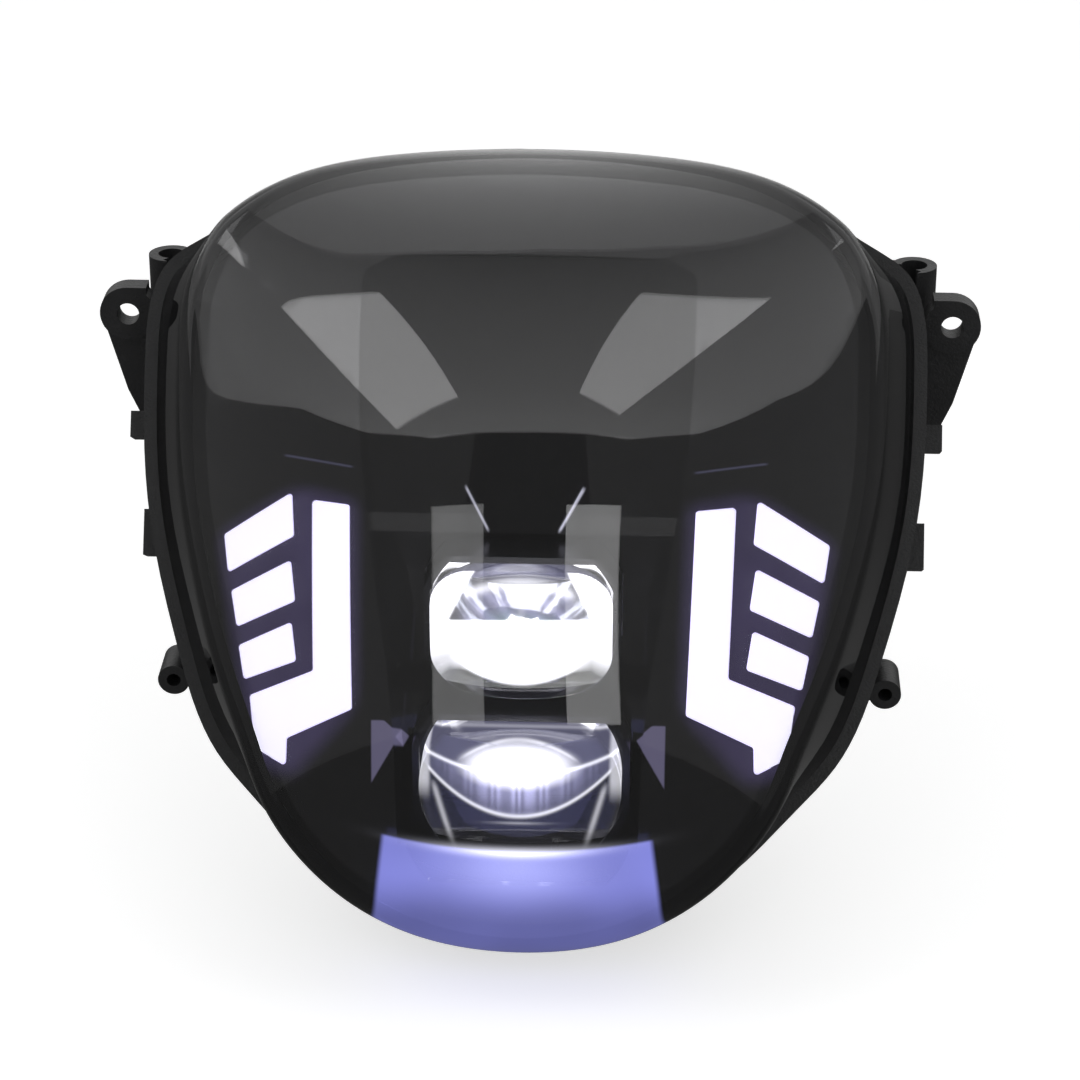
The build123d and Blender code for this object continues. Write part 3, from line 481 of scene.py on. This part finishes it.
bezel_shader = Shader("piano_black")
bezel_noise = bezel_shader.noise(120.0)
bezel_shader.colours(bezel_noise, (0.003, 0.003, 0.004), (0.006, 0.006, 0.007))
bezel_shader.range(bezel_noise, 0.02, 0.04, "Roughness")
bezel_light(bezel_shader)

guide_shader = Shader("frosted_guide")
guide_noise = guide_shader.noise(120.0)
guide_shader.colours(guide_noise, (0.8, 0.8, 0.85), (0.9, 0.9, 0.95))
guide_shader.range(guide_noise, 0.3, 0.4, "Roughness")
guide_light(guide_shader)

materials = {
    "cover": cover_shader.material,
    "band": band_shader.material,
    "seal": plain("seal_rubber", (0.01, 0.01, 0.01), (0.02, 0.02, 0.02), (0.6, 0.75)),
    "housing": plain("housing_plastic", (0.010, 0.010, 0.011), (0.018, 0.018, 0.019), (0.42, 0.55),
                     scale=160.0, bump=0.0002),
    "bezel": bezel_shader.material,
    "guide": guide_shader.material,
    "tray": plain("white_tray", (0.75, 0.75, 0.76), (0.85, 0.85, 0.86), (0.4, 0.5)),
    "board": plain("solder_mask", (0.02, 0.12, 0.06), (0.03, 0.16, 0.08), (0.3, 0.4)),
    "emitter": plain("phosphor", (0.85, 0.8, 0.5), (0.95, 0.9, 0.6), (0.4, 0.5)),
    "lens": lens_shader.material,
    "holder": plain("holder_plastic", (0.006, 0.006, 0.008), (0.012, 0.012, 0.014), (0.2, 0.3)),
    "reflector": metal("metallised", (0.8, 0.81, 0.83), (0.86, 0.87, 0.89), (0.04, 0.08)),
    "heat_sink": metal("cast_alloy", (0.42, 0.42, 0.43), (0.55, 0.55, 0.56), (0.4, 0.55)),
    "shield": metal("black_steel", (0.03, 0.03, 0.033), (0.06, 0.06, 0.063), (0.35, 0.5)),
    "carrier": metal("cast_carrier", (0.36, 0.36, 0.37), (0.48, 0.48, 0.49), (0.45, 0.6)),
    "driver": plain("potting", (0.02, 0.02, 0.022), (0.04, 0.04, 0.042), (0.5, 0.6)),
    "screw": metal("zinc", (0.5, 0.5, 0.53), (0.62, 0.62, 0.65), (0.3, 0.42)),
}
main = materials["emitter"].node_tree.nodes["Principled BSDF"]
main.inputs["Emission Color"].default_value = (1, 0.98, 0.94, 1)
main.inputs["Emission Strength"].default_value = EMITTER_STRENGTH

slots = {row["node"]: row["material_slot"] for row in frame["record"]["subparts"]}
for name, obj in nodes.items():
    obj.data.materials.clear()
    obj.data.materials.append(materials[slots[name]])


def paint(obj, name, colours):
    """Stores one colour for each vertex."""
    layer = obj.data.color_attributes.new(name, "FLOAT_COLOR", "POINT")
    rgba = np.ones((len(colours), 4))
    rgba[:, :3] = colours
    layer.data.foreach_set("color", rgba.ravel())


def step(value, low, high):
    """0 below low, 1 above high and smooth between."""
    s = np.clip((value - low) / (high - low), 0, 1)
    return s * s * (3 - 2 * s)


# Front cover: smooth outer and inner skin, closed over the tongue at the foot; the inner side
# of the wall and edge is black
OUTER_ROUND, INNER_ROUND = 4.0, 2.0
OUTER_ROWS, INNER_ROWS = 60, 50
TONGUE_DEPTH, TONGUE_INSET, TONGUE_WALL = 5, 1.0, 2.4
outer = skin(0.0, 0.0, OUTER_ROUND, OUTER_ROWS)
inner = skin(COVER_WALL, COVER_WALL, INNER_ROUND, INNER_ROWS)
tongue = [flat_loop(level, inset) for level, inset in
          ((0, TONGUE_INSET), (-TONGUE_DEPTH, TONGUE_INSET),
           (-TONGUE_DEPTH, TONGUE_INSET + TONGUE_WALL), (0, TONGUE_INSET + TONGUE_WALL))]
band_start = len(outer)
band_end = band_start + len(tongue) + WALL_ROWS + EDGE_ROWS + BAND_ROWS
cover = closed_mesh("clear_cover", outer + tongue + inner[::-1],
                    (0, DOME_MID, dome(0.0, DOME_MID)),
                    (0, DOME_MID, dome(0.0, DOME_MID) - COVER_WALL), range(band_start, band_end))
cover.data.materials.append(materials["cover"])
cover.data.materials.append(materials["band"])
inside = np.zeros(len(cover.data.vertices))
inside[1 + len(outer) * len(outer[0]):] = 1.0
paint(cover, "inside", np.repeat(inside[:, None], 3, 1))
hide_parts("front_cover")
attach(cover, "root")

# Projector lenses: smooth bulged fronts, flat at the top and foot, the upper one also at its sides
LENS_EDGE = 10.0                    # depth of the side wall
EDGE_TRIM, EDGE_DROP = 0.5, 0.35    # small bevel between the front and the side wall
WALL_START = 0.4                    # behind the edge, where the side wall counts as wall
SIDE_ROWS = 28
UPPER = dict(z=-50.5, seat=-103.0, radius=27.5, rim=27.5,
             height=37.0, width=51.5, bulge=11.0, corner=11.0)
LOWER = dict(z=-96.4, seat=-112.0, radius=30.5, rim=29.0,
             height=37.0, width=58.0, bulge=12.0, corner=0.0)


def lens_mesh(name, module, count=480, rows=70):
    """Closed mesh of a lens, and its points in millimetres of the row frame."""
    angle = np.linspace(0, 2 * math.pi, count, endpoint=False)
    ray_x, ray_z = np.cos(angle), np.sin(angle)
    reach = np.minimum.reduce([np.full(count, module["rim"]),
                               module["width"] / 2 / np.maximum(np.abs(ray_x), 1e-6),
                               module["height"] / 2 / np.maximum(np.abs(ray_z), 1e-6)])
    round_x = module["width"] / 2 - module["corner"]
    round_z = module["height"] / 2 - module["corner"]
    in_corner = (reach * np.abs(ray_x) > round_x) & (reach * np.abs(ray_z) > round_z)
    along = round_x * np.abs(ray_x) + round_z * np.abs(ray_z)
    root = along ** 2 - round_x ** 2 - round_z ** 2 + module["corner"] ** 2
    rounded = along + np.sqrt(np.maximum(root, 0))
    if module["corner"]:
        reach = np.where(in_corner, np.minimum(reach, rounded), reach)
    radius, bulge = module["radius"], module["bulge"]
    sphere = (radius ** 2 + bulge ** 2) / (2 * bulge)
    front = module["seat"] - LENS_EDGE

    def loop(share, y=None, trim=0.0):
        r = (reach - trim) * share
        x, z = r * ray_x, r * ray_z
        face = front - bulge + sphere - np.sqrt(sphere ** 2 - r ** 2)
        return np.column_stack([x, face if y is None else np.full(count, y), z + module["z"]])

    shares = np.sin(np.linspace(0, math.pi / 2, rows + 1))[1:]
    loops = [loop(s, trim=EDGE_TRIM) for s in shares]
    edge = loop(1.0)
    edge[:, 1] += EDGE_DROP
    loops.append(edge)
    depth = module["seat"] - edge[:, 1]
    for s in np.linspace(0, 1, SIDE_ROWS + 1)[1:]:
        side = edge.copy()
        side[:, 1] += depth * s
        loops.append(side)
    loops += [loop(s, y=module["seat"]) for s in (0.98, 0.7, 0.35)]
    points = np.vstack([[(0, front - bulge, module["z"])]] + loops
                       + [[(0, module["seat"], module["z"])]])
    return new_object(name, points * MM, loft_faces(count, len(loops))), points


ELEVATION = math.radians(26)    # of the camera, which the lenses' light is laid out for
LOOK_UP = np.array([math.sin(ELEVATION), math.cos(ELEVATION)])


def lens_object(name, module, node, light):
    """Lens in place of a node, its light painted on the faces that look outwards."""
    obj, points = lens_mesh(name, module)
    x, height = points[:, 0], (points[:, 1:] - ORIGIN[1:]) @ LOOK_UP
    above = points[:, 2] - module["z"]
    outer_face = (points[:, 1] < module["seat"] - 0.01) & (above > 0.1 - module["height"] / 2)
    if module["corner"]:     # its side walls stay clear
        outer_face &= points[:, 1] < module["seat"] - LENS_EDGE + WALL_START
    paint(obj, "glow", outer_face[:, None] * light(x, height))
    obj.data.materials.append(materials["lens"])
    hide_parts(node)
    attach(obj, "root")
    return obj


COOL = np.array([1.0, 1.0, 1.06])
LAVENDER = np.array([0.62, 0.62, 1.0])


def bell(value, width):
    """1 in the middle, falling to 1 / e at width."""
    return np.exp(-(value / width) ** 2)


def upper_light(x, s):
    """Full beam: white all over but for a clear window at the top and an arc below.

    s is the height across the slanting view from the front. All lengths are in millimetres.
    """
    half = 13.0 + 7.0 * np.clip((-9.0 - s) / 13.5, 0, 1)
    window = step(half - np.abs(x), -0.5, 0.5) * step(s + 22.6 - 0.02 * x, -0.3, 0.3)
    corner = np.hypot(np.maximum(np.abs(x) - 17.5, 0), np.maximum(s + 17.5, 0))
    foot = np.where(np.abs(x) < 20, -41.0 + 7.3 * (x / 20) ** 2, -33.7 - 0.3 * (np.abs(x) - 20))
    soft = 0.5 + 4.0 * step(np.abs(x), 14.0, 23.0)
    white = np.clip((s - foot) / (2 * soft) + 0.5, 0, 1)
    white *= step(8.9 - corner, -0.3, 0.5) * (1 - window)
    band = bell(s + 12.4 + 0.014 * x ** 2, 1.4) * step(15.5 - np.abs(x), -1, 2)
    veil = step(-14.0 - s, -1, 2) * step(17 - np.abs(x), -2, 6)
    veil *= 0.75 + 0.25 * np.sin(x * 0.9 + s)
    streak = bell(x - 0.5, 1.2) * step(-13.0 - s, -1, 1)
    grooves = 1 - 0.35 * bell(np.abs(x) - 21.5 - 0.1 * s, 0.35) * step(s, -20, -14)
    glow = (1.6 * white * grooves)[:, None] * COOL
    glow += (window * (0.05 + 0.40 * veil))[:, None] * LAVENDER
    glow += (window * (0.8 * band + 0.25 * streak))[:, None] * COOL
    return glow


def lower_light(x, s):
    """Dipped beam: a white core over the crest line, streaks down to a bright arc, clear below."""
    crest = -66.8 + 0.0088 * x ** 2
    arc = -78.6 + 0.0196 * x ** 2
    over = step(s - crest, -0.3, 0.3)
    between = (1 - over) * step(s - arc, -0.3, 0.3)
    core = step(1.0 - np.hypot(x / 15.5, (s + 64.0) / 6.4), -0.25, 0.4)
    ring = bell(s + 56.6 + 0.0212 * x ** 2, 0.5) * step(17 - np.abs(x), -1, 3)
    streaks = 0.5 + 0.5 * np.sin(x * 2.3 + np.sin(x * 0.9) * 2)
    veil = bell(x, 16) * (0.45 + 0.55 * streaks) * step(s - arc, -2, 9)
    sides = step(np.abs(x), 25.0, 26.5) * step(s, -76, -68)
    facets = bell(np.abs(x) - 22.6 - 0.3 * (s + 76), 0.8)
    facets *= step(s, -90, -80) * step(-69.0 - s, -1, 3)
    back_edge = bell(s + 53.2, 0.5) * (0.35 + 0.65 * step(np.abs(x), 17, 21))
    glow = (over * 0.16)[:, None] * LAVENDER
    glow += (1.5 * core + 0.6 * over * ring)[:, None] * COOL
    glow += (between * (0.12 + 1.05 * veil))[:, None] * LAVENDER
    lines = bell(s - crest, 0.55) + bell(s - arc, 0.6) * 0.9 * step(26.5 - np.abs(x), 0, 1)
    glow += lines[:, None] * COOL
    glow += (0.6 * sides + 0.5 * facets + 0.7 * back_edge)[:, None] * COOL
    glow += (0.35 * bell(s + 80.6, 0.4) * bell(x, 7))[:, None] * COOL
    return glow


lens_object("upper_lens", UPPER, "upper_projector_lens", upper_light)
lens_object("lower_lens", LOWER, "lower_projector_lens", lower_light)

# Studio
FLOOR_Z = cad_box[0][2] - 0.0005
FLOOR_SIZE = 8.0


def plane(name, size_x, size_y, z):
    mesh = bpy.data.meshes.new(name)
    a, b = size_x / 2, size_y / 2
    mesh.from_pydata([(-a, -b, z), (a, -b, z), (a, b, z), (-a, b, z)], [], [(0, 1, 2, 3)])
    obj = bpy.data.objects.new(name, mesh)
    bpy.context.scene.collection.objects.link(obj)
    return obj


def seen_background(tree):
    """1 where a camera, glossy or transmitted ray sees the background."""
    path = tree.nodes.new("ShaderNodeLightPath")
    first = tree.nodes.new("ShaderNodeMath")
    first.operation = "MAXIMUM"
    second = tree.nodes.new("ShaderNodeMath")
    second.operation = "MAXIMUM"
    tree.links.new(path.outputs["Is Camera Ray"], first.inputs[0])
    tree.links.new(path.outputs["Is Glossy Ray"], first.inputs[1])
    tree.links.new(first.outputs[0], second.inputs[0])
    tree.links.new(path.outputs["Is Transmission Ray"], second.inputs[1])
    return second.outputs[0]


LIT_FLOOR = 0.6             # own light of the floor where it is seen
DIFFUSE_WORLD, SEEN_WORLD = 0.5, 1.0
floor = plane("floor", FLOOR_SIZE, FLOOR_SIZE, FLOOR_Z)
floor_shader = Shader("pale_floor", Roughness=0.9)
floor_shader.colours(floor_shader.noise(3.0), (0.78, 0.78, 0.78), (0.8, 0.8, 0.8))
floor_shader.main.inputs["Specular IOR Level"].default_value = 0.0
floor_shader.main.inputs["Emission Color"].default_value = (1, 1, 1, 1)
fill = floor_shader.node("ShaderNodeMath", operation="MULTIPLY")
floor_shader.link(seen_background(floor_shader.tree), fill.inputs[0])
fill.inputs[1].default_value = LIT_FLOOR
floor_shader.link(fill.outputs[0], floor_shader.main.inputs["Emission Strength"])
floor.data.materials.append(floor_shader.material)

world = bpy.data.worlds.new("studio")
bpy.context.scene.world = world
world.use_nodes = True
tree = world.node_tree
background = tree.nodes["Background"]
background.inputs["Color"].default_value = (1, 1, 1, 1)
level = tree.nodes.new("ShaderNodeMapRange")
level.inputs["To Min"].default_value = DIFFUSE_WORLD
level.inputs["To Max"].default_value = SEEN_WORLD
tree.links.new(seen_background(tree), level.inputs["Value"])
tree.links.new(level.outputs["Result"], background.inputs["Strength"])


def softbox(name, centre, aim, side, sizes, power):
    """Rectangular lamp: middle, the way it shines, how its first side runs, sizes, power."""
    back = -Vector(aim).normalized()
    first = Vector(side)
    first = (first - back * first.dot(back)).normalized()
    data = bpy.data.lights.new(name, "AREA")
    data.shape = "RECTANGLE"
    data.size, data.size_y = sizes
    data.energy = power
    obj = bpy.data.objects.new(name, data)
    turn = Matrix((first, back.cross(first), back)).transposed()
    obj.matrix_world = Matrix.Translation(centre) @ turn.to_4x4()
    obj.visible_camera = False
    bpy.context.scene.collection.objects.link(obj)
    return obj


softbox("left_softbox", (-1.025, -0.564, 1.184), (0.239, -0.49, -0.838), (-0.008, 0.862, -0.506),
        (0.82, 0.74), 2.7)
softbox("right_softbox", (0.677, -0.654, 1.337), (-0.332, -0.716, -0.614), (0.129, -0.68, 0.722),
        (1.38, 0.53), 3.0)
softbox("left_strip", (-0.543, -1.375, 0.313), (0.0, 0.77, -0.64), (-1, 0, 0),
        (0.44, 1.15), 1.6)
softbox("right_strip", (0.532, -1.37, 0.341), (0.066, 0.778, -0.625), (-1, 0.03, -0.07),
        (0.46, 1.12), 2.4)

# Cards that show only in reflections and through glass: dark curtains and a cloth round the
# object, grey walls and a ceiling


def card(name, corners, colour, fade=None):
    """Glowing card; fade gives positions along Y and the shares of the colour there."""
    mesh = bpy.data.meshes.new(name)
    mesh.from_pydata(corners, [], [tuple(range(len(corners)))])
    obj = bpy.data.objects.new(name, mesh)
    bpy.context.scene.collection.objects.link(obj)
    shader = Shader(name + "_cloth", Roughness=1.0)
    shader.colours(shader.noise(4.0), tuple(0.94 * c for c in colour), colour, "Emission Color")
    shader.main.inputs["Base Color"].default_value = (0, 0, 0, 1)
    shader.main.inputs["Specular IOR Level"].default_value = 0.0
    shader.main.inputs["Emission Strength"].default_value = 1.0
    if fade:
        where = shader.node("ShaderNodeSeparateXYZ")
        shader.link(shader.node("ShaderNodeTexCoord").outputs["Object"], where.inputs[0])
        low, high = fade[0][0], fade[-1][0]
        along = shader.node("ShaderNodeMapRange")
        along.inputs["From Min"].default_value = low
        along.inputs["From Max"].default_value = high
        shader.link(where.outputs["Y"], along.inputs["Value"])
        ramp = shader.node("ShaderNodeValToRGB")
        stops = ramp.color_ramp.elements
        while len(stops) < len(fade):
            stops.new(0.5)
        for stop, (y, share) in zip(stops, fade):
            stop.position = (y - low) / (high - low)
            stop.color = (share, share, share, 1)
        shader.link(along.outputs["Result"], ramp.inputs[0])
        shader.link(ramp.outputs["Color"], shader.main.inputs["Emission Strength"])
    obj.data.materials.append(shader.material)
    obj.visible_camera = obj.visible_diffuse = obj.visible_shadow = False
    return obj


FRONT_Y, CEILING, CURTAIN_X, WALL_X, BACK_Y = -1.6, 2.1, 0.8, 8.0, 5.0
CARD_Z = FLOOR_Z + 0.0002   # just over the floor, under the object
CURTAIN_FOOT = -1.85        # the front curtain leans towards the table
TABLE_BACK = 1.5
DARK, DIM, GREY = (0.11, 0.11, 0.11), (0.18, 0.18, 0.18), (0.5, 0.5, 0.5)
# Upper edge of the side curtains as (y, z), from the front backwards
CURTAIN_EDGE = [(FRONT_Y, CEILING), (-0.9, 1.1), (-0.45, 0.55), (-0.224, 0.324), (-0.018, 0.048),
                (0.3, 0.06), (1.5, 0.12)]
# Line across the ceiling where it turns brighter, from left to right
TURN = [(-8, -1.0), (-4, -0.45), (-1.3, 0.03), (-0.6, 0.25), (0, 0.33), (0.6, 0.25), (1.3, 0.03),
        (4, -0.45), (8, -1.0)]
card("front_curtain", [(-CURTAIN_X, CURTAIN_FOOT, FLOOR_Z), (CURTAIN_X, CURTAIN_FOOT, FLOOR_Z),
                       (CURTAIN_X, FRONT_Y, CEILING), (-CURTAIN_X, FRONT_Y, CEILING)], DARK)
card("table_cloth", [(-CURTAIN_X, CURTAIN_FOOT, CARD_Z), (CURTAIN_X, CURTAIN_FOOT, CARD_Z),
                     (CURTAIN_X, TABLE_BACK, CARD_Z), (-CURTAIN_X, TABLE_BACK, CARD_Z)], DARK)
for side, name in ((-1, "left"), (1, "right")):
    card(name + "_curtain", [(side * CURTAIN_X, CURTAIN_EDGE[-1][0], FLOOR_Z),
                             (side * CURTAIN_X, CURTAIN_FOOT, FLOOR_Z)]
         + [(side * CURTAIN_X, y, z) for y, z in CURTAIN_EDGE], DIM)
    card(name + "_wall", [(side * WALL_X, FRONT_Y, FLOOR_Z), (side * WALL_X, BACK_Y, FLOOR_Z),
                          (side * WALL_X, BACK_Y, CEILING), (side * WALL_X, FRONT_Y, CEILING)],
         GREY)
card("near_ceiling", [(-WALL_X, FRONT_Y, CEILING), (WALL_X, FRONT_Y, CEILING)]
     + [(x, y, CEILING) for x, y in TURN[::-1]], (1.0, 1.0, 1.0),
     [(FRONT_Y, 0.8), (-1.1, 0.62), (-0.55, 0.5), (-0.2, 0.42), (0.33, 0.27)])
card("far_ceiling", [(x, y, CEILING) for x, y in TURN]
     + [(WALL_X, BACK_Y, CEILING), (-WALL_X, BACK_Y, CEILING)], (1.0, 1.0, 1.0),
     [(-1.0, 0.5), (0.33, 0.6), (1.2, 0.7), (2.4, 0.78), (BACK_Y, 1.0)])

# Camera
AZIMUTH, DISTANCE = math.radians(2.5), 1.0
HALF_VIEW = 0.162           # tangent of half the angle of view
TARGET = Vector((0.00285, -0.056, -0.0494))
look = Vector((-math.sin(AZIMUTH) * math.cos(ELEVATION), math.cos(AZIMUTH) * math.cos(ELEVATION),
               -math.sin(ELEVATION)))
camera_data = bpy.data.cameras.new("camera")
camera_data.sensor_fit = "HORIZONTAL"
camera_data.angle = 2 * math.atan(HALF_VIEW)
camera_data.clip_start = 0.01
camera = bpy.data.objects.new("camera", camera_data)
camera.location = TARGET - look * DISTANCE
camera.rotation_euler = look.to_track_quat("-Z", "Y").to_euler()
bpy.context.scene.collection.objects.link(camera)
bpy.context.scene.camera = camera
bpy.context.scene.view_settings.view_transform = "Standard"
